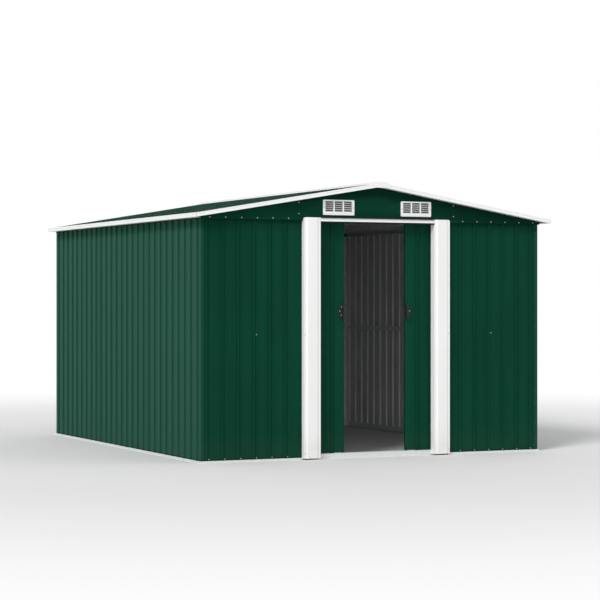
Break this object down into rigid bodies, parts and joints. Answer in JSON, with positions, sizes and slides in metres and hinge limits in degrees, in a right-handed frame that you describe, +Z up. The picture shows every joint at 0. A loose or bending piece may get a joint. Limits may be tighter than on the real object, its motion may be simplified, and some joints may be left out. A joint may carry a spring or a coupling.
{
  "type": "metal storage shed",
  "caption": "Ribbed sheet metal storage shed with a low gable roof, louvred gable vents and sliding doors.",
  "frame": {"origin": "on the ground under the middle of the roof, halfway across it and halfway back", "axes": "+X to the right along the front, across the gable; +Y from the door front to the back, along the ridge; +Z up"},
  "size_m": [2.57, 3.03, 1.787],
  "materials": {
    "green_sheet": "satin dark green coil coating",
    "green_door": "satin dark green coil coating",
    "white_trim": "satin white coil coating",
    "galvanised_frame": "galvanised with a faint spangle",
    "white_vent": "matte moulded white",
    "black_handle": "matte moulded black"
  },
  "bodies": {
    "shell": {"back_gable_middle": "green_sheet", "back_gable_wings": "green_sheet", "back_rake_trims": "white_trim", "back_vents": "white_vent", "back_wall": "green_sheet", "base_rail_back": "galvanised_frame", "base_rails_front": "galvanised_frame", "base_rails_side": "galvanised_frame", "bottom_track": "galvanised_frame", "corner_posts_back": "galvanised_frame", "corner_posts_front": "galvanised_frame", "door_header": "white_trim", "door_jamb_left": "white_trim", "door_jamb_right": "white_trim", "door_top_track": "galvanised_frame", "eave_trim_left": "white_trim", "eave_trim_right": "white_trim", "front_gable_middle": "green_sheet", "front_gable_wings": "green_sheet", "front_rake_trims": "white_trim", "front_vents": "white_vent", "front_wall_left": "green_sheet", "front_wall_right": "green_sheet", "left_wall": "green_sheet", "mid_rail_back": "galvanised_frame", "mid_rails_front": "galvanised_frame", "mid_rails_side": "galvanised_frame", "purlins": "galvanised_frame", "ridge_beam": "galvanised_frame", "ridge_cap": "white_trim", "right_wall": "green_sheet", "roof_left": "green_sheet", "roof_right": "green_sheet", "top_rail_back": "galvanised_frame", "top_rails_side": "galvanised_frame"},
    "left_door": {"door_bottom_rail_left": "galvanised_frame", "door_handle_left": "black_handle", "door_mid_rail_left": "galvanised_frame", "door_panel_left": "green_door", "door_top_rail_left": "galvanised_frame"},
    "right_door": {"door_bottom_rail_right": "galvanised_frame", "door_handle_right": "black_handle", "door_mid_rail_right": "galvanised_frame", "door_panel_right": "green_door", "door_top_rail_right": "galvanised_frame"}
  },
  "joints": [
    {"name": "left_door_slide", "type": "slide", "parent": "shell", "child": "left_door", "axis": [1, 0, 0], "range_m": [-0.149, 0.208]},
    {"name": "right_door_slide", "type": "slide", "parent": "shell", "child": "right_door", "axis": [1, 0, 0], "range_m": [-0.23, 0.127]}
  ]
}
